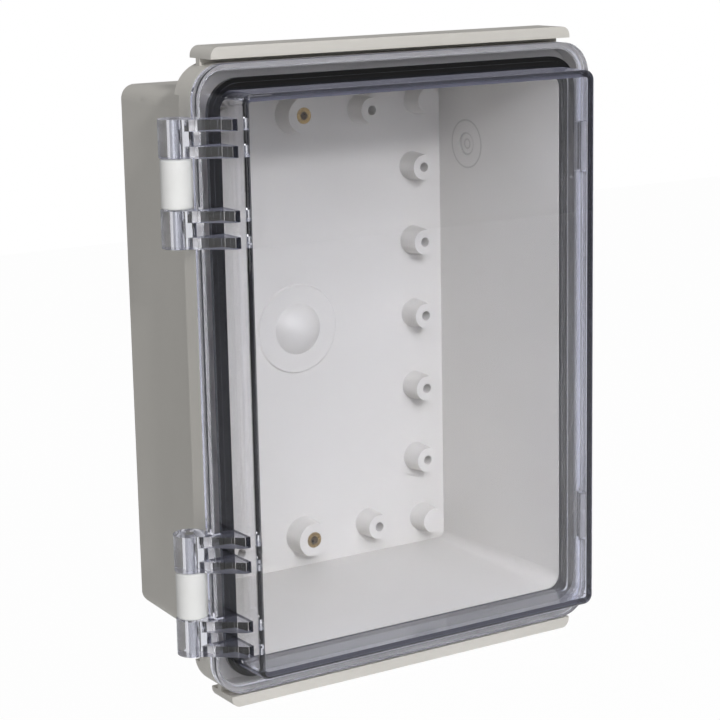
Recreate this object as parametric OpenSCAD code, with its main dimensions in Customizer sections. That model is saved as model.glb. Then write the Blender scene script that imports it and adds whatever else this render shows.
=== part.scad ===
// Wall-mounting enclosure with a hinged clear door, two hinges and two snap latches.
// The case is drawn lying on its back, with +Z pointing out of the wall, and stood up at the end:
// +X is to the right, the door faces -Y, +Z is up, and the origin is the middle of the rear face.

/* [Body] */
// Width over the side walls at the rear face
body_w = 190; // [150:1:260]
// Height over the top and bottom walls at the rear face
body_h = 265.5; // [220:0.5:340]
// Depth of the body from the rear face to its front lip
body_depth = 102.7; // [80:0.1:160]
// Thickness of the moulded walls
wall = 3.5; // [2.5:0.1:5]
// Draft of the walls, in degrees
draft = 2; // [0.5:0.1:3]
// Outside radius of the four long corners at the rear face
corner_r = 7; // [5.5:0.5:12]
// Radius that eases the edge of the rear face
rear_edge_r = 3; // [1:0.5:5]

/* [Flange] */
// How far the flange stands out from the side walls
flange_reach = 11.9; // [10.5:0.1:18]
// Radius of the flange's corners
flange_corner_r = 16; // [12:0.5:22]
// Depth of the flange's skirt
skirt_depth = 11; // [9:0.5:16]
// Thickness of the flange's skirt
skirt_t = 3.4; // [2.4:0.1:4.5]
// Depth of the gutter between the front lip and the skirt
gutter_depth = 8.4; // [3:0.1:8.6]
// Thickness of the gutter's floor
gutter_floor = 2.2; // [1.6:0.1:3]
// How much deeper the skirt is round the corners
corner_drop = 4; // [2:0.5:8]
// How far the deeper skirt runs along the sides from each corner
corner_run = 14; // [10:0.5:30]
// Height of the drain slot at each end of the deeper skirt
drain_slot = 3.6; // [2:0.1:6]

/* [Rails] */
// How far each end of a rail stops short of the flange's side
rail_inset = 9.5; // [8:0.5:40]
// Thickness of the rails
rail_t = 5.5; // [3:0.1:8]
// Gap between a rail and the door's rim
rail_gap = 2; // [1:0.1:4]
// Depth of the rails
rail_depth = 19.8; // [14:0.1:30]
// How far the rails stand in front of the body's lip
rail_proud = 3.1; // [0:0.1:5]
// Radius of the rails' outer corners
rail_corner_r = 4.5; // [1:0.5:5]

/* [Door] */
// How far the window stands in front of the door's rim
window_rise = 21.3; // [12:0.1:35]
// Thickness of the clear window and its side walls
door_t = 3.5; // [2.5:0.1:4.5]
// Draft of the window's side walls, in degrees
door_draft = 1.3; // [0.5:0.1:3]
// Radius of the window's corners at its front face
window_corner_r = 5; // [4:0.5:10]
// Radius that eases the edge of the window's front face
window_edge_r = 2.4; // [1:0.1:3.5]
// Thickness of the door's flat rim
rim_t = 3.2; // [2.4:0.1:4]
// Depth of the turned-down edge round the rim
rim_edge_depth = 5.7; // [5:0.1:8]
// Width of the turned-down edge
rim_edge_w = 2.6; // [1.8:0.1:3.5]
// Gap between the closed door and the body
door_gap = 0.3; // [0.3:0.05:0.6]

/* [Seal] */
// Width of the gasket
gasket_w = 8.5; // [6:0.1:10]
// Distance from the lip's inner face to the gasket
gasket_land = 0.3; // [0.3:0.1:1.5]
// Width of the gasket's tongue
gasket_tongue = 4; // [3:0.1:5]
// Depth of the tongue's groove in the rim
gasket_groove = 0.8; // [0.4:0.1:1.4]
// Clearance of the tongue in its groove
gasket_clear = 0.1; // [0.05:0.05:0.2]

/* [Hinges] */
// Distance between the middles of the two hinges
hinge_pitch = 192; // [120:1:210]
// Distance from the flange's front to the hinge's axis, towards the wall
hinge_set_back = 0.7; // [0:0.1:2]
// Height of each clear knuckle
knuckle_h = 17.3; // [14:0.1:22]
// Outside radius of the knuckles
knuckle_r = 7.6; // [6:0.1:9]
// Height of each of a knuckle's two ribs
rib_h = 5.3; // [3:0.1:7]
// How far the ribs stay below the window's front face
rib_drop = 6.5; // [3:0.5:12]
// Height of the white barrel between the knuckles
barrel_h = 22.7; // [16:0.1:30]
// Outside radius of the barrel
barrel_r = 7.2; // [5.5:0.1:8.5]
// Radius that eases the barrel's rims
barrel_edge_r = 1.2; // [0.4:0.1:1.5]
// Clearance between a knuckle and the barrel's end, and between the knuckle and the flange
hinge_gap = 0.4; // [0.3:0.05:0.8]
// Radius of the hinge pin
hinge_pin_r = 2.2; // [1.5:0.1:3]
// Radial clearance of every pin in its holes
pin_clear = 0.05; // [0.02:0.01:0.1]
// Height of the block that carries the barrel on the flange
foot_h = 14; // [8:0.5:15]
// Clearance of that block's tenon in the skirt
foot_clear = 0.1; // [0.05:0.05:0.2]

/* [Latches] */
// Distance between the middles of the two latches
latch_pitch = 192; // [120:1:210]
// Width of a latch along the door's edge
latch_w = 24; // [16:0.5:32]
// Thickness of the latch's arm
latch_arm_t = 2.6; // [2:0.1:3]
// How far the latch's nose reaches into the pocket in the door's edge
nose_reach = 3; // [2.4:0.1:3.6]
// Thickness of the nose
nose_t = 1.8; // [1.2:0.1:2]
// Clear skin that the rim keeps in front of the pocket
pocket_skin = 1.2; // [1:0.1:1.4]
// Depth of the notch in the flange's skirt behind each latch
notch_depth = 4.4; // [3:0.1:5]
// How far the latch's pad reaches into that notch
pad_reach = 2.4; // [1:0.1:3]
// Gap between a closed latch and what it hooks over or passes through
latch_gap = 0.35; // [0.3:0.05:0.6]
// Distance from the flange's front to the latch's pin, towards the wall
latch_pin_back = 19.7; // [18:0.1:26]
// Distance of the latch's pin outside the flange's edge
latch_pin_out = 2; // [1.5:0.1:4]
// Radius of the latch's hub
latch_hub_r = 4.4; // [3.5:0.1:5.5]
// Radius of the latch's pin
latch_pin_r = 1.5; // [1:0.1:2]
// Thickness of the lugs that carry the latch's pin
lug_t = 3.5; // [2.5:0.1:5]
// Thickness of the latch's finger tab
tab_t = 2; // [1.5:0.1:2.6]
// Length of the finger tab
tab_len = 11.5; // [8:0.5:14]
// How far the finger tab curves away from the arm
tab_flare = 3.5; // [2:0.1:4]

/* [Bosses] */
// Height of the bosses on the rear wall
boss_h = 12.2; // [9:0.1:18]
// Radius of a boss at its tip
boss_r = 6.6; // [5:0.1:8]
// How much wider a boss is at its root
boss_flare = 1; // [0.2:0.1:2]
// Radius of the screw hole in a boss
boss_hole_r = 2.5; // [1.5:0.1:3.2]
// Depth of the screw hole in a boss
boss_hole_depth = 10; // [6:0.5:11]
// Distance from the side wall to the middle of a column of bosses
column_inset = 18.3; // [12:0.1:24]
// Spacing of the bosses in a column
column_pitch = 40; // [25:0.5:42]
// Bosses in each side column
column_count = 5; // [1:2:5]
// Distance of the top and bottom pairs of bosses from the middle
pair_x = 41.2; // [25:0.1:48]
// Distance from the top or bottom wall to the middle of a row of bosses
row_inset = 17.2; // [12:0.1:24]
// Distance from the side wall to the middle of a corner boss
corner_inset_x = 14.8; // [10:0.1:20]
// Distance from the top or bottom wall to the middle of a corner boss
corner_inset_y = 14.4; // [10:0.1:20]
// Radius of the mounting hole in the back of a corner boss
mount_hole_r = 2.4; // [1.5:0.1:3.2]
// Depth of that mounting hole
mount_hole_depth = 12; // [6:0.5:13]
// Radius of the counterbore round the mounting hole
mount_recess_r = 4.6; // [3.6:0.1:5.5]
// Depth of the counterbore
mount_recess_depth = 1.2; // [0.4:0.1:2]

/* [Inserts] */
// Radius of the two bosses that hold brass inserts, at the tip
insert_boss_r = 9; // [7:0.1:11]
// Outside radius of the brass insert
insert_r = 4.2; // [3.4:0.1:5]
// Length of the brass insert
insert_len = 9.5; // [6:0.5:11]
// Radius of the thread in the insert
thread_r = 2.1; // [1.5:0.05:2.6]
// Clearance of the insert in its boss
insert_clear = 0.05; // [0.02:0.01:0.1]

/* [Rear wall details] */
// Radius of the dome in the middle of the rear wall
dome_r = 13.5; // [8:0.5:18]
// Height of the dome
dome_h = 6; // [3:0.5:9]
// Radius of the low disc round the dome
disc_r = 23; // [18.5:0.5:30]
// Height of the low disc
disc_h = 0.8; // [0.4:0.1:2]
// Radius of the round moulding mark on the right wall
mark_r = 6; // [4:0.5:9]
// Depth of the mark
mark_depth = 0.4; // [0.2:0.1:0.8]

/* [Hidden] */
$fn = 48;
e = 0.01;                 // overlap between pieces of one solid
cut = 1;                  // how far a cutter runs past the face it cuts
ease_steps = 5;           // flats that make up an eased edge
proud = 0.02;             // how far a block's corner posts stand out of its flat sides

slope = tan(draft);
door_slope = tan(door_draft);
floor_w = body_w + 2 * slope * wall - 2 * wall;
floor_h = body_h + 2 * slope * wall - 2 * wall;
lip_w = body_w + 2 * slope * body_depth;
lip_h = body_h + 2 * slope * body_depth;
opening_w = lip_w - 2 * wall;
opening_h = lip_h - 2 * wall;
opening_r = corner_r - wall + slope * body_depth;
flange_w = lip_w + 2 * flange_reach;
flange_h = lip_h + 2 * flange_reach;
skirt_z = body_depth - skirt_depth;
gutter_z = body_depth - gutter_depth;

rim_back_z = body_depth + door_gap;
rim_z = rim_back_z + rim_edge_depth;
rim_under_z = rim_z - rim_t;
case_z = rim_z + window_rise;
window_w = opening_w + 2 * door_t - 2 * door_slope * window_rise;
window_h = opening_h + 2 * door_t - 2 * door_slope * window_rise;
window_inner_r = max(window_corner_r - door_t, 0.5);
window_depth = case_z - rim_under_z;

gasket_in_w = opening_w + 2 * gasket_land;
gasket_in_h = opening_h + 2 * gasket_land;
gasket_in_r = opening_r + gasket_land;
tongue_in = (gasket_w - gasket_tongue) / 2;

rail_len = flange_w - 2 * rail_inset;
rail_z = body_depth + rail_proud - rail_depth;
rail_y = flange_h / 2 + rail_gap;
rail_web = 3;
slot_rise = 0.5;

hinge_x = -flange_w / 2 - hinge_gap - knuckle_r;
hinge_z = body_depth - hinge_set_back;
hinge_bore_r = hinge_pin_r + pin_clear;
hinge_half = barrel_h / 2 + hinge_gap + knuckle_h;
foot_front = body_depth - door_gap;
tenon_w = 2.2;
tenon_rim = 2;

slot_h = latch_w + 4 * latch_gap;
arm_x = flange_w / 2 + latch_gap;
latch_x = flange_w / 2 + latch_pin_out;
latch_z = body_depth - latch_pin_back;
tip_x = arm_x - nose_reach;
pocket_z = rim_z - pocket_skin;
nose_rise = 0.5;          // how far the nose rises as the latch swings out of the pocket
nose_z = pocket_z - latch_gap - nose_rise - nose_t;
notch_z = body_depth - notch_depth;
latch_bore_r = latch_pin_r + pin_clear;
lug_r = latch_hub_r - latch_gap;
lug_span = latch_w + 2 * latch_gap + 2 * lug_t;

boss_tip = wall + boss_h;
column_x = floor_w / 2 - column_inset;
row_y = floor_h / 2 - row_inset;
corner_x = floor_w / 2 - corner_inset_x;
corner_y = floor_h / 2 - corner_inset_y;
mark_z = 27.5;
mark_y = 92;

// ---- Plane outlines ----

module rounded(w, h, r) {
    for (sx = [-1, 1], sy = [-1, 1])
        translate([sx * (w / 2 - r), sy * (h / 2 - r)]) circle(r);
    square([w - 2 * r, h], center = true);
    square([w, h - 2 * r], center = true);
}

module band(w, h, r, t) {
    difference() {
        rounded(w, h, r);
        rounded(w - 2 * t, h - 2 * t, r - t);
    }
}

// ---- Drafted blocks: round posts at the corners, with slabs between them ----

// Outline of one side, from its near edge to its far one: the side leans out by lean per
// millimetre, and its near edge is eased to a radius in short flats.
function side(at, depth, lean, edge) = concat(
    edge == 0 ? [[at, 0]] :
        [for (i = [0 : ease_steps])
            let (rise = edge * (1 - cos(90 * i / ease_steps)))
                [at - edge * (1 - sin(90 * i / ease_steps)) + lean * rise, rise]],
    [[at + lean * depth, depth]]);

function flipped(points) = [for (i = [len(points) - 1 : -1 : 0]) [-points[i][0], points[i][1]]];

module slab(length, at, depth, lean, edge) {
    points = side(at, depth, lean, edge);
    linear_extrude(length, center = true) polygon(concat(points, flipped(points)));
}

// A rounded block whose near face is at z = 0. The posts stand a hair proud, so that the
// slabs' faces run into them at a small angle and not at a bare touch.
module drafted(w, h, r, depth, lean, edge = 0) {
    for (sx = [-1, 1], sy = [-1, 1])
        translate([sx * (w / 2 - r), sy * (h / 2 - r), 0])
            rotate_extrude()
                polygon(concat([[0, 0]], side(r + proud, depth, lean, edge), [[0, depth]]));
    rotate([90, 0, 90]) slab(w - 2 * r, h / 2, depth, lean, edge);
    rotate([90, 0, 0]) slab(h - 2 * r, w / 2, depth, lean, edge);
}

// ---- Helpers ----

// Extrudes an outline drawn in x and z along y, centred on y.
module across(y, h) {
    translate([0, y + h / 2, 0]) rotate([90, 0, 0]) linear_extrude(h) children();
}

// A round post with both rims eased by a true radius.
module eased_post(r, h, edge) {
    rotate_extrude() {
        square([r - edge, h]);
        translate([0, edge]) square([r, h - 2 * edge]);
        for (z = [edge, h - edge]) translate([r - edge, z]) circle(edge);
    }
}

module in_corners(x, y) {
    for (sx = [-1, 1], sy = [-1, 1]) translate([sx * x, sy * y, 0]) children();
}

module boss(r, flare) {
    translate([0, 0, wall - e]) cylinder(h = boss_h + e, r1 = r + flare, r2 = r);
}

// ---- Base ----

module rails() {
    for (s = [0, 1]) mirror([0, s, 0]) {
        difference() {
            translate([-rail_len / 2, rail_y, rail_z]) cube([rail_len, rail_t, rail_depth]);
            for (m = [0, 1]) mirror([m, 0, 0])
                translate([rail_len / 2 - rail_corner_r, rail_y + rail_t - rail_corner_r, rail_z - cut])
                    difference() {
                        cube([rail_corner_r + cut, rail_corner_r + cut, rail_depth + 2 * cut]);
                        translate([0, 0, -cut]) cylinder(h = rail_depth + 4 * cut, r = rail_corner_r);
                    }
        }
        translate([-rail_len / 2, flange_h / 2 - skirt_t, skirt_z])
            cube([rail_len, rail_gap + skirt_t + e, gutter_z - gutter_floor - skirt_z + rail_web]);
    }
}

module flange() {
    translate([0, 0, gutter_z - gutter_floor])
        linear_extrude(gutter_floor)
            difference() {
                rounded(flange_w, flange_h, flange_corner_r);
                rounded(opening_w + wall, opening_h + wall, opening_r + wall / 2);
            }
    translate([0, 0, skirt_z])
        linear_extrude(skirt_depth) band(flange_w, flange_h, flange_corner_r, skirt_t);
    intersection() {
        translate([0, 0, skirt_z - corner_drop])
            linear_extrude(corner_drop + e) band(flange_w, flange_h, flange_corner_r, skirt_t);
        in_corners(flange_w / 2, flange_h / 2)
            cube([3 * corner_run, 2 * corner_run, 4 * body_depth], center = true);
    }
}

module drain_slots() {
    in_corners((flange_w - skirt_t) / 2, flange_h / 2 - corner_run - drain_slot / 2)
        translate([0, 0, skirt_z - (corner_drop + cut) / 2 + slot_rise])
            cube([skirt_t + 2 * cut, drain_slot, corner_drop + cut], center = true);
}

module latch_lugs(y) {
    for (s = [-1, 1])
        across(y + s * (lug_span - lug_t) / 2, lug_t)
            difference() {
                union() {
                    translate([latch_x, latch_z]) circle(lug_r);
                    translate([lip_w / 2 - wall, latch_z - lug_r])
                        square([latch_x - lip_w / 2 + wall, 2 * lug_r]);
                }
                translate([latch_x, latch_z]) circle(latch_bore_r);
            }
}

// Notch in the flange's skirt, behind the latch's pad
module latch_notch(y) {
    translate([flange_w / 2 - skirt_t - cut, y - slot_h / 2, notch_z])
        cube([skirt_t + 2 * cut, slot_h, notch_depth + cut]);
}

module tenon(y, clear) {
    translate([-flange_w / 2 - cut, y - foot_h / 2 + tenon_rim - clear, skirt_z + tenon_rim - clear])
        cube([tenon_w + cut + clear, foot_h - 2 * tenon_rim + 2 * clear,
            foot_front - skirt_z - 2 * tenon_rim + 2 * clear]);
}

module boss_field() {
    in_corners(corner_x, corner_y) boss(boss_r, boss_flare);
    in_corners(pair_x, row_y) boss(boss_r, boss_flare);
    for (s = [-1, 1]) translate([0, s * row_y, 0]) boss(insert_boss_r, boss_flare);
    column_places() boss(boss_r, boss_flare);
}

module column_places() {
    for (sx = [-1, 1], i = [0 : column_count - 1])
        translate([sx * column_x, (i - (column_count - 1) / 2) * column_pitch, 0]) children();
}

module dome() {
    ball_r = (dome_r * dome_r + dome_h * dome_h) / (2 * dome_h);
    translate([0, 0, wall - e]) cylinder(h = disc_h + e, r1 = disc_r + disc_h, r2 = disc_r);
    intersection() {
        translate([0, 0, wall + disc_h + dome_h - ball_r]) sphere(ball_r);
        translate([0, 0, wall]) cylinder(h = disc_h + dome_h + cut, r = dome_r + disc_h);
    }
}

module boss_holes() {
    hole_z = boss_tip - boss_hole_depth;
    for (place = [0, 1]) translate([0, 0, hole_z]) {
        if (place == 0) in_corners(pair_x, row_y) cylinder(h = boss_hole_depth + cut, r = boss_hole_r);
        if (place == 1) column_places() cylinder(h = boss_hole_depth + cut, r = boss_hole_r);
    }
    for (s = [-1, 1])
        translate([0, s * row_y, boss_tip - insert_len - insert_clear])
            cylinder(h = insert_len + cut, r = insert_r + insert_clear);
    in_corners(corner_x, corner_y) {
        translate([0, 0, -cut]) cylinder(h = mount_hole_depth + cut, r = mount_hole_r);
        translate([0, 0, -cut]) cylinder(h = mount_recess_depth + cut, r = mount_recess_r);
    }
}

module base_shell() {
    color([0.8, 0.8, 0.78])
        upright()
            difference() {
                union() {
                    drafted(body_w, body_h, corner_r, body_depth, slope, rear_edge_r);
                    flange();
                    rails();
                    for (s = [-1, 1]) latch_lugs(s * latch_pitch / 2);
                }
                difference() {
                    translate([0, 0, wall])
                        drafted(floor_w, floor_h, corner_r - wall + slope * wall, body_depth, slope);
                    boss_field();
                    dome();
                }
                boss_holes();
                drain_slots();
                for (s = [-1, 1]) {
                    latch_notch(s * latch_pitch / 2);
                    tenon(s * hinge_pitch / 2, foot_clear);
                }
                translate([floor_w / 2 + slope * mark_z - mark_depth, mark_y, mark_z])
                    rotate([0, 90, 0]) cylinder(h = mark_depth * 2, r = mark_r);
            }
}

// ---- Door ----

module knuckle_places(y) {
    for (s = [-1, 1]) translate([0, y + s * (hinge_half - knuckle_h / 2), 0]) children();
}

module knuckle() {
    rib_z = case_z - rib_drop;
    wall_x = window_w / 2 + door_slope * rib_drop;
    edge_x = flange_w / 2 - rim_edge_w;
    across(0, knuckle_h) {
        translate([hinge_x, hinge_z]) circle(knuckle_r);
        translate([hinge_x, rim_back_z]) square([-edge_x - hinge_x, rim_edge_depth]);
    }
    for (s = [-1, 1])
        across(s * (knuckle_h - rib_h) / 2, rib_h)
            polygon([
                [hinge_x, rim_back_z], [hinge_x, hinge_z + knuckle_r],
                [-wall_x - 3, rib_z], [-wall_x + door_t / 2, rib_z],
                [-wall_x + door_t / 2, rim_under_z], [-edge_x, rim_under_z], [-edge_x, rim_back_z]]);
}

// Pocket in the turned-down edge: the latch's nose hooks over the bar that is left behind it.
module catch_pocket(y) {
    catch_z = nose_z - latch_gap;
    translate([tip_x - latch_gap, y - slot_h / 2, catch_z])
        cube([nose_reach + 2 * latch_gap + cut, slot_h, pocket_z - catch_z]);
}

module gasket_groove() {
    translate([0, 0, rim_under_z - cut])
        linear_extrude(gasket_groove + cut) gasket_band(tongue_in - gasket_clear);
}

module door_cover() {
    color([0.75, 0.78, 0.8, 0.35])
        upright()
            difference() {
                union() {
                    translate([0, 0, case_z])
                        mirror([0, 0, 1])
                            drafted(window_w, window_h, window_corner_r, window_depth, door_slope,
                                window_edge_r);
                    translate([0, 0, rim_under_z])
                        linear_extrude(rim_t) rounded(flange_w, flange_h, flange_corner_r);
                    translate([0, 0, rim_back_z])
                        linear_extrude(rim_edge_depth) band(flange_w, flange_h, flange_corner_r, rim_edge_w);
                    for (s = [-1, 1]) knuckle_places(s * hinge_pitch / 2) knuckle();
                }
                translate([0, 0, case_z - door_t])
                    mirror([0, 0, 1])
                        drafted(window_w - 2 * door_t + 2 * door_slope * door_t,
                            window_h - 2 * door_t + 2 * door_slope * door_t,
                            window_inner_r, window_depth, door_slope);
                gasket_groove();
                for (s = [-1, 1]) {
                    catch_pocket(s * latch_pitch / 2);
                    across(s * hinge_pitch / 2, 2 * hinge_half + 2 * cut)
                        translate([hinge_x, hinge_z]) circle(hinge_bore_r);
                }
            }
}

// Outline of the gasket, drawn in from both of its edges.
module gasket_band(inset) {
    out = gasket_w - inset;
    band(gasket_in_w + 2 * out, gasket_in_h + 2 * out, gasket_in_r + out, out - inset);
}

module door_gasket() {
    color([0.1, 0.1, 0.11])
        upright() {
            translate([0, 0, rim_back_z]) linear_extrude(rim_under_z - rim_back_z) gasket_band(0);
            translate([0, 0, rim_under_z - e]) linear_extrude(gasket_groove + e) gasket_band(tongue_in);
        }
}

// ---- Hinges ----

module hinge_block(y) {
    color([0.9, 0.9, 0.89])
        upright()
            difference() {
                union() {
                    translate([hinge_x, y + barrel_h / 2, hinge_z])
                        rotate([90, 0, 0]) eased_post(barrel_r, barrel_h, barrel_edge_r);
                    across(y, foot_h)
                        polygon([[hinge_x, hinge_z - barrel_r], [hinge_x, foot_front],
                            [-flange_w / 2, foot_front], [-flange_w / 2, skirt_z],
                            [hinge_x + barrel_r / 2, skirt_z]]);
                    intersection() {
                        tenon(y, 0);
                        across(y, foot_h)
                            translate([-flange_w / 2 - e, skirt_z]) square([tenon_w + e, skirt_depth]);
                    }
                }
                across(y, barrel_h + 2 * cut) translate([hinge_x, hinge_z]) circle(hinge_bore_r);
            }
}

module hinge_pin(y) {
    color([0.72, 0.72, 0.74])
        upright()
            translate([hinge_x, y + hinge_half, hinge_z])
                rotate([90, 0, 0]) cylinder(h = 2 * hinge_half, r = hinge_pin_r);
}

module hinge_block_upper() hinge_block(hinge_pitch / 2);
module hinge_block_lower() hinge_block(-hinge_pitch / 2);
module hinge_pin_upper() hinge_pin(hinge_pitch / 2);
module hinge_pin_lower() hinge_pin(-hinge_pitch / 2);

// ---- Latches ----

module latch(y) {
    steps = 8;
    tab_x = arm_x + latch_arm_t - 0.6;
    tab_z = latch_z + 2.5;
    pad_z = notch_z + latch_gap;
    function tab_at(i) = [tab_x + tab_flare * pow(i / steps, 2), tab_z + tab_len * i / steps];
    color([0.9, 0.9, 0.89])
        upright()
            difference() {
                union() {
                    across(y, latch_w) translate([latch_x, latch_z]) circle(latch_hub_r);
                    across(y, latch_w)
                        polygon([[arm_x, latch_z], [arm_x, nose_z], [tip_x, nose_z],
                            [tip_x, nose_z + nose_t], [arm_x + latch_arm_t - 1, nose_z + nose_t],
                            [arm_x + latch_arm_t, nose_z + nose_t - 1],
                            [arm_x + latch_arm_t, latch_z + 2], [latch_x, latch_z],
                            [latch_x, latch_z - latch_hub_r + 0.6]]);
                    across(y, latch_w)
                        translate([arm_x - latch_gap - pad_reach, pad_z])
                            square([pad_reach + 2 * latch_gap, body_depth - 2 * latch_gap - pad_z]);
                    across(y, latch_w)
                        polygon(concat([for (i = [0 : steps]) tab_at(i)],
                            [for (i = [steps : -1 : 0]) tab_at(i) + [tab_t, 0]]));
                }
                across(y, latch_w + 2 * cut) translate([latch_x, latch_z]) circle(latch_bore_r);
            }
}

module latch_pin(y) {
    color([0.72, 0.72, 0.74])
        upright()
            translate([latch_x, y + lug_span / 2, latch_z])
                rotate([90, 0, 0]) cylinder(h = lug_span, r = latch_pin_r);
}

module latch_upper() latch(latch_pitch / 2);
module latch_lower() latch(-latch_pitch / 2);
module latch_pin_upper() latch_pin(latch_pitch / 2);
module latch_pin_lower() latch_pin(-latch_pitch / 2);

// ---- Inserts ----

module insert(y) {
    groove = 1;
    color([0.72, 0.58, 0.3])
        upright()
            translate([0, y, boss_tip - insert_len])
                difference() {
                    cylinder(h = insert_len, r = insert_r);
                    for (z = [insert_len / 3, insert_len * 2 / 3])
                        translate([0, 0, z - groove / 2])
                            difference() {
                                cylinder(h = groove, r = insert_r + cut);
                                cylinder(h = groove, r = insert_r - groove / 2);
                            }
                    translate([0, 0, -cut]) cylinder(h = insert_len + 2 * cut, r = thread_r);
                }
}

module insert_top() insert(row_y);
module insert_bottom() insert(-row_y);

// Stands the case up: what points out of the wall turns to -Y.
module upright() rotate([90, 0, 0]) children();

base_shell();
door_cover();
door_gasket();
hinge_block_upper();
hinge_block_lower();
hinge_pin_upper();
hinge_pin_lower();
latch_upper();
latch_lower();
latch_pin_upper();
latch_pin_lower();
insert_top();
insert_bottom();
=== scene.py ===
import bpy, math
from mathutils import Matrix, Vector


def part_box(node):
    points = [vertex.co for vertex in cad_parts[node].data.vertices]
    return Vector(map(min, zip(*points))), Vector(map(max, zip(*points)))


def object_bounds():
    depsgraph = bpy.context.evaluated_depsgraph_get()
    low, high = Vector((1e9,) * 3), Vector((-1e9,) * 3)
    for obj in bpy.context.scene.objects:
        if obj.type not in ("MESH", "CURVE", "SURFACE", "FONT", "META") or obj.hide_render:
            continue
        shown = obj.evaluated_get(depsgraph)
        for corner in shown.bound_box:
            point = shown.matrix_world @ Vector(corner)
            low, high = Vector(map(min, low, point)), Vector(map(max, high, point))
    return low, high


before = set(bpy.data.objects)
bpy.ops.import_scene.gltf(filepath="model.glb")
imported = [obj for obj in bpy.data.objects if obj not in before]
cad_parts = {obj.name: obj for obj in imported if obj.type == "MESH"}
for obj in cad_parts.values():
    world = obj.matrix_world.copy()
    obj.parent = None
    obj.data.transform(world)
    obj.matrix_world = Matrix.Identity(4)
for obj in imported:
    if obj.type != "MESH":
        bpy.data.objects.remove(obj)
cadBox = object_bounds()
print("frame loaded", len(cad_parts), "nodes")

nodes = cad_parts


# ---- shader helpers ----

class Wire:
    # wraps an output socket so that shader maths reads as an expression
    def __init__(self, tree, socket):
        self.tree, self.socket = tree, socket

    def maths(self, kind, a, b=None):
        return self.tree.node("ShaderNodeMath", {"operation": kind}, [a] if b is None else [a, b])

    def __add__(self, other): return self.maths("ADD", self, other)
    def __radd__(self, other): return self.maths("ADD", other, self)
    def __sub__(self, other): return self.maths("SUBTRACT", self, other)
    def __rsub__(self, other): return self.maths("SUBTRACT", other, self)
    def __mul__(self, other): return self.maths("MULTIPLY", self, other)
    def __rmul__(self, other): return self.maths("MULTIPLY", other, self)
    def __truediv__(self, other): return self.maths("DIVIDE", self, other)
    def __rtruediv__(self, other): return self.maths("DIVIDE", other, self)
    def __pow__(self, other): return self.maths("POWER", self, other)
    def __gt__(self, other): return self.maths("GREATER_THAN", self, other)
    def __lt__(self, other): return self.maths("LESS_THAN", self, other)


class Finish:
    # one material or world; node() adds any node, with its settings first and then its inputs
    def __init__(self, name, owner=None):
        self.material = owner or bpy.data.materials.new(name)
        self.material.use_nodes = True
        self.tree = self.material.node_tree
        self.tree.nodes.clear()

    def node(self, kind, settings=None, inputs=None, out=0):
        made = self.tree.nodes.new(kind)
        for key, value in (settings or {}).items():
            if key == "stops":
                ramp = made.color_ramp
                while len(ramp.elements) < len(value):
                    ramp.elements.new(0.5)
                for element, (place, colour) in zip(ramp.elements, value):
                    element.position, element.color = place, colour
            else:
                setattr(made, key, value)
        pairs = inputs.items() if isinstance(inputs, dict) else enumerate(inputs or [])
        for key, value in pairs:
            self.join(value, made.inputs[key])
        return Wire(self, made.outputs[out])

    def join(self, value, socket):
        if isinstance(value, Wire):
            self.tree.links.new(value.socket, socket)
        elif value is not None:
            socket.default_value = value

    def place(self):
        return self.node("ShaderNodeTexCoord", out="Object")

    def noise(self, scale, detail=3.0, rough=0.5, where=None, warp=0.0):
        return self.node("ShaderNodeTexNoise", None, {"Vector": where or self.place(), "Scale": scale,
            "Detail": detail, "Roughness": rough, "Distortion": warp}, out="Fac")

    def blend(self, factor, a, b):
        return self.node("ShaderNodeMix", {"data_type": "RGBA"}, {0: factor, 6: a, 7: b}, out=2)

    def rescale(self, value, fromLow, fromHigh, toLow, toHigh):
        return self.node("ShaderNodeMapRange", None, [value, fromLow, fromHigh, toLow, toHigh])

    def bump(self, height, strength, distance, under=None):
        return self.node("ShaderNodeBump", None, {"Strength": strength, "Distance": distance,
            "Height": height, "Normal": under})

    def plastic(self, **inputs):
        return self.node("ShaderNodeBsdfPrincipled", None, {k.replace("_", " "): v for k, v in inputs.items()})

    def done(self, shader, kind="ShaderNodeOutputMaterial"):
        end = self.tree.nodes.new(kind)
        self.tree.links.new(shader.socket, end.inputs["Surface"])
        return self.material


def rgb(r, g, b, a=1.0):
    # a colour given as it looks on a screen
    def flat(c):
        c = c / 255
        return c / 12.92 if c <= 0.04045 else ((c + 0.055) / 1.055) ** 2.4
    return (flat(r), flat(g), flat(b), a)


def coat(names, material):
    for name in names:
        piece = nodes[name]
        piece.data.materials.clear()
        piece.data.materials.append(material)


# ---- finishes ----

greyCase = {"colour": rgb(206, 203, 197), "worn": rgb(196, 193, 186), "grain": 900.0, "rough": 0.42}
# the round moulding mark on the right inner wall: rings round a point given across the wall and up it; the
# rings are pressed in and also darkened with painted shade along their lines
wallMark = {"depth": -0.0275, "height": 0.092, "inside": 0.088, "rings": (0.0024, 0.0056, 0.0125),
    "line": 0.0005, "shade": rgb(150, 148, 142)}


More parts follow.
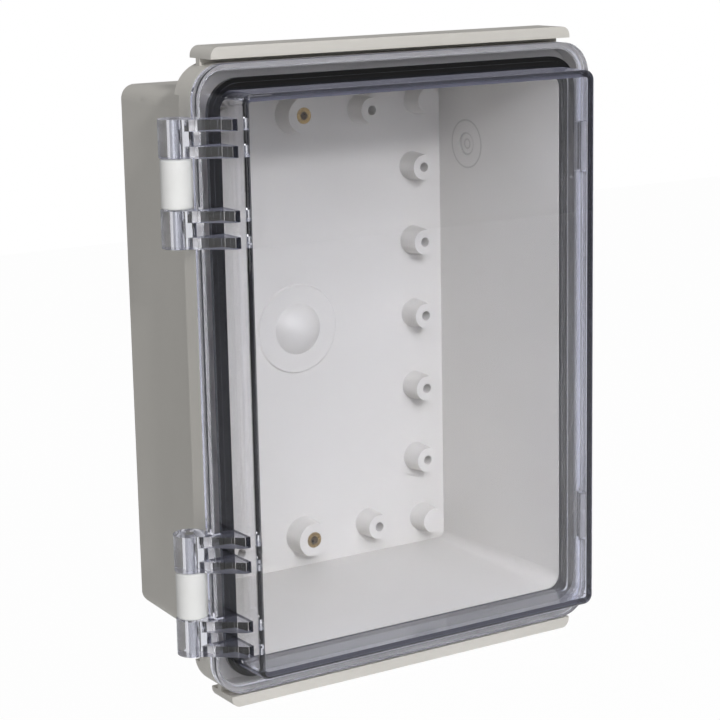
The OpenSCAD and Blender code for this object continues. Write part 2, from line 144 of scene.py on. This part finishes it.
def makeGreyCase():
    # light grey moulded polycarbonate: a fine spark-eroded grain, faint flow marks and handling marks
    f = Finish("grey_moulded_plastic")
    where = f.place()
    flow = f.noise(7.0, 4.0, 0.55, where, 0.6)
    speck = f.noise(greyCase["grain"], 2.0, 0.6, where)
    smear = f.noise(38.0, 5.0, 0.65, where, 1.2)
    colour = f.blend(f.rescale(flow, 0.35, 0.7, 0.0, 0.55), greyCase["colour"], greyCase["worn"])
    rough = f.rescale(smear, 0.3, 0.75, greyCase["rough"] - 0.05, greyCase["rough"] + 0.1)
    fine = f.bump(speck, 0.25, 0.00012)
    wavy = f.bump(flow, 0.08, 0.0012, fine)
    x, y, z = (f.node("ShaderNodeSeparateXYZ", None, [where], out=k) for k in range(3))
    away = ((y - wallMark["depth"]) ** 2 + (z - wallMark["height"]) ** 2) ** 0.5
    mark = 0.0
    for ring in wallMark["rings"]:
        off = (away - ring).maths("ABSOLUTE", away - ring)
        mark = mark + (off < wallMark["line"])
    mark = mark * (x > wallMark["inside"])
    # painted shade: the ring lines are darkened in colour to stand in for the shading along the mark's relief
    colour = f.blend(mark * 0.5, colour, wallMark["shade"])
    pressed = f.bump(mark, 0.9, 0.0004, wavy)
    return f.done(f.plastic(Base_Color=colour, Roughness=rough, Normal=pressed, IOR=1.5))


sealRubber = {"colour": rgb(17, 17, 19), "pale": rgb(32, 32, 35)}


def makeSealRubber():
    f = Finish("black_foam_seal")
    where = f.place()
    cells = f.noise(2600.0, 2.0, 0.7, where)
    dust = f.noise(60.0, 4.0, 0.6, where)
    colour = f.blend(f.rescale(dust, 0.4, 0.75, 0.0, 0.8), sealRubber["colour"], sealRubber["pale"])
    rough = f.rescale(dust, 0.3, 0.7, 0.55, 0.75)
    return f.done(f.plastic(Base_Color=colour, Roughness=rough, Normal=f.bump(cells, 0.4, 0.0002)))


hingePlastic = {"colour": rgb(226, 226, 225), "shade": rgb(214, 214, 212)}


def makeHingePlastic():
    f = Finish("off_white_plastic")
    where = f.place()
    cloud = f.noise(55.0, 3.0, 0.5, where)
    grain = f.noise(1400.0, 2.0, 0.6, where)
    colour = f.blend(f.rescale(cloud, 0.35, 0.7, 0.0, 0.6), hingePlastic["colour"], hingePlastic["shade"])
    rough = f.rescale(cloud, 0.3, 0.7, 0.34, 0.46)
    return f.done(f.plastic(Base_Color=colour, Roughness=rough, Normal=f.bump(grain, 0.15, 0.0001)))


pinSteel = {"colour": rgb(196, 196, 198)}


def makePinSteel():
    f = Finish("drawn_steel")
    where = f.place()
    stretched = f.node("ShaderNodeMapping", None, {"Vector": where, "Scale": (1.0, 1.0, 0.04)}, out=0)
    lines = f.noise(3000.0, 2.0, 0.6, stretched)
    rough = f.rescale(lines, 0.3, 0.7, 0.22, 0.38)
    return f.done(f.plastic(Base_Color=pinSteel["colour"], Metallic=1.0, Roughness=rough,
        Normal=f.bump(lines, 0.12, 0.00005)))


insertBrass = {"colour": rgb(178, 150, 96), "dull": rgb(112, 92, 56), "pitch": 0.0008}


def makeInsertBrass():
    f = Finish("turned_brass")
    where = f.place()
    patches = f.noise(420.0, 3.0, 0.6, where)
    colour = f.blend(f.rescale(patches, 0.35, 0.7, 0.0, 0.8), insertBrass["colour"], insertBrass["dull"])
    rough = f.rescale(patches, 0.3, 0.7, 0.2, 0.4)
    # thread: rings along the bore
    split = f.node("ShaderNodeSeparateXYZ", None, [where], out=1)
    turns = split * (2 * math.pi / insertBrass["pitch"])
    thread = turns.maths("SINE", turns)
    return f.done(f.plastic(Base_Color=colour, Metallic=1.0, Roughness=rough,
        Normal=f.bump(thread, 0.6, 0.0003)))


# the bluish diffuse colour, with its share and fall-off, is painted edge light laid on the door's turned-away
# surfaces
clearDoor = {"tint": (0.885, 0.895, 0.955, 1.0), "shadowTint": (0.78, 0.785, 0.79, 1.0),
    "rimTint": (0.22, 0.22, 0.23, 1.0), "rimFront": 0.0035, "gloss": 0.012, "scuffed": 0.072, "bend": 1.585,
    "paintedEdgeLight": (0.50, 0.51, 0.66, 1.0), "paintedEdgeLightShare": 0.45, "paintedEdgeLightFall": 4}


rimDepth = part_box("door_gasket")[0].y - clearDoor["rimFront"]


def makeClearDoor():
    # clear polycarbonate that bends light, with faint ripples and hairline scuffs; lamps shine through it
    f = Finish("clear_polycarbonate")
    where = f.place()
    ripple = f.noise(26.0, 2.0, 0.5, where)
    scuffs = f.noise(160.0, 6.0, 0.7, where, 2.5)
    skin = f.bump(ripple, 0.02, 0.0003)
    rough = f.rescale(scuffs, 0.5, 0.8, clearDoor["gloss"], clearDoor["scuffed"])
    glassy = f.plastic(Base_Color=clearDoor["tint"], Roughness=rough, IOR=clearDoor["bend"],
        Transmission_Weight=1.0, Normal=skin)
    # the pane passes the lamps' light, while the rim's edges and ribs scatter most of it
    pane = f.node("ShaderNodeBsdfTransparent", None, {"Color": clearDoor["shadowTint"]})
    edges = f.node("ShaderNodeBsdfTransparent", None, {"Color": clearDoor["rimTint"]})
    depth = f.node("ShaderNodeSeparateXYZ", None, [where], out=1)
    clear = f.node("ShaderNodeMixShader", None, [depth > rimDepth, pane, edges])
    # painted edge light: a faint bluish diffuse colour mixed in where the surface turns away, standing in for
    # the light that the edges catch
    turned = f.node("ShaderNodeLayerWeight", None, [0.5], out="Facing")
    paintedEdgeLight = f.node("ShaderNodeBsdfDiffuse", None, {"Color": clearDoor["paintedEdgeLight"]})
    share = turned ** clearDoor["paintedEdgeLightFall"] * clearDoor["paintedEdgeLightShare"]
    glassyWithEdgeLight = f.node("ShaderNodeMixShader", None, [share, glassy, paintedEdgeLight])
    lampRay = f.node("ShaderNodeLightPath", out="Is Shadow Ray")
    return f.done(f.node("ShaderNodeMixShader", None, [lampRay, glassyWithEdgeLight, clear]))


coat(["base_shell"], makeGreyCase())
coat(["latch_upper", "latch_lower"], nodes["base_shell"].data.materials[0])
coat(["door_gasket"], makeSealRubber())
coat(["hinge_block_upper", "hinge_block_lower"], makeHingePlastic())
coat(["hinge_pin_upper", "hinge_pin_lower", "latch_pin_upper", "latch_pin_lower"], makePinSteel())
coat(["insert_top", "insert_bottom"], makeInsertBrass())
coat(["door_cover"], makeClearDoor())
print("finishes made")


# ---- floor, backdrop and lights ----

low, high = cadBox
middle = (low + high) / 2
studio = {"floorColour": rgb(238, 238, 238), "floorSize": 6.0, "drop": 0.3,
    "whiteFloor": 0.98, "whiteThrough": 0.6, "worldColour": (0.8, 0.8, 0.8, 1), "worldLight": 0.27,
    "key": {"from": (-0.5, -2.15, 1.0), "size": 0.22, "power": 33.0},
    "fill": {"from": (-1.6, -1.2, 0.4), "size": 1.4, "power": 6.0},
    "top": {"from": (0.1, -0.2, 1.9), "size": 1.4, "power": 8.0}}


def whiteShare(f, direct):
    # the camera sees white, and through the clear plastic a share of it, so that its edges stay light
    paths = f.node("ShaderNodeLightPath").socket.node.outputs
    seen = Wire(f, paths["Is Camera Ray"])
    through = Wire(f, paths["Is Transmission Ray"])
    unscattered = Wire(f, paths["Diffuse Depth"]) < 0.5
    return seen * direct + through * unscattered * studio["whiteThrough"]


def makeFloor():
    bpy.ops.object.select_all(action="DESELECT")
    bpy.ops.mesh.primitive_plane_add(size=studio["floorSize"], location=(0, 0, low.z - studio["drop"]))
    floor = bpy.context.object
    floor.name = "floor"
    f = Finish("pale_floor")
    plain = f.node("ShaderNodeBsdfDiffuse", None, {"Color": studio["floorColour"]})
    white = f.node("ShaderNodeEmission", None, {"Color": (1, 1, 1, 1), "Strength": 1.0})
    floor.data.materials.append(f.done(f.node("ShaderNodeMixShader", None,
        [whiteShare(f, studio["whiteFloor"]), plain, white])))


def makeWorld():
    world = bpy.data.worlds.new("studio")
    bpy.context.scene.world = world
    world.use_nodes = True
    f = Finish("studio", world)
    soft = f.node("ShaderNodeBackground", None,
        {"Color": studio["worldColour"], "Strength": studio["worldLight"]})
    white = f.node("ShaderNodeBackground", None, {"Color": (1, 1, 1, 1), "Strength": 1.0})
    f.done(f.node("ShaderNodeMixShader", None, [whiteShare(f, 1.0), soft, white]), "ShaderNodeOutputWorld")


def addLamp(name, lamp):
    data = bpy.data.lights.new(name, "AREA")
    data.shape, data.size, data.energy = "SQUARE", lamp["size"], lamp["power"]
    lampObject = bpy.data.objects.new(name, data)
    bpy.context.scene.collection.objects.link(lampObject)
    lampObject.location = middle + Vector(lamp["from"])
    lampObject.rotation_euler = (middle - lampObject.location).to_track_quat("-Z", "Y").to_euler()


makeFloor()
makeWorld()
for name in ("key", "fill", "top"):
    addLamp(name, studio[name])
bpy.context.scene.view_settings.view_transform = "Standard"
print("studio ready")


# ---- camera ----

camera = {"place": (-0.5594, -0.9472, 0.2162), "yaw": 32.40, "pitch": 12.04, "roll": -1.13, "lens": 106.6}


def addCamera():
    data = bpy.data.cameras.new("camera")
    data.lens, data.sensor_width, data.sensor_fit = camera["lens"], 36.0, "HORIZONTAL"
    data.clip_start, data.clip_end = 0.05, 50.0
    made = bpy.data.objects.new("camera", data)
    bpy.context.scene.collection.objects.link(made)
    yaw, pitch, roll = (math.radians(camera[k]) for k in ("yaw", "pitch", "roll"))
    turn = Matrix(((math.cos(yaw), -math.sin(yaw), 0), (math.sin(yaw), math.cos(yaw), 0), (0, 0, 1)))
    tip = Matrix(((1, 0, 0), (0, math.cos(pitch), -math.sin(pitch)), (0, math.sin(pitch), math.cos(pitch))))
    lean = Matrix(((math.cos(roll), 0, math.sin(roll)), (0, 1, 0), (-math.sin(roll), 0, math.cos(roll))))
    right, ahead, up = lean @ tip @ turn
    made.matrix_world = Matrix((
        (right[0], up[0], -ahead[0], camera["place"][0]),
        (right[1], up[1], -ahead[1], camera["place"][1]),
        (right[2], up[2], -ahead[2], camera["place"][2]),
        (0, 0, 0, 1)))
    bpy.context.scene.camera = made


addCamera()
print("camera set")
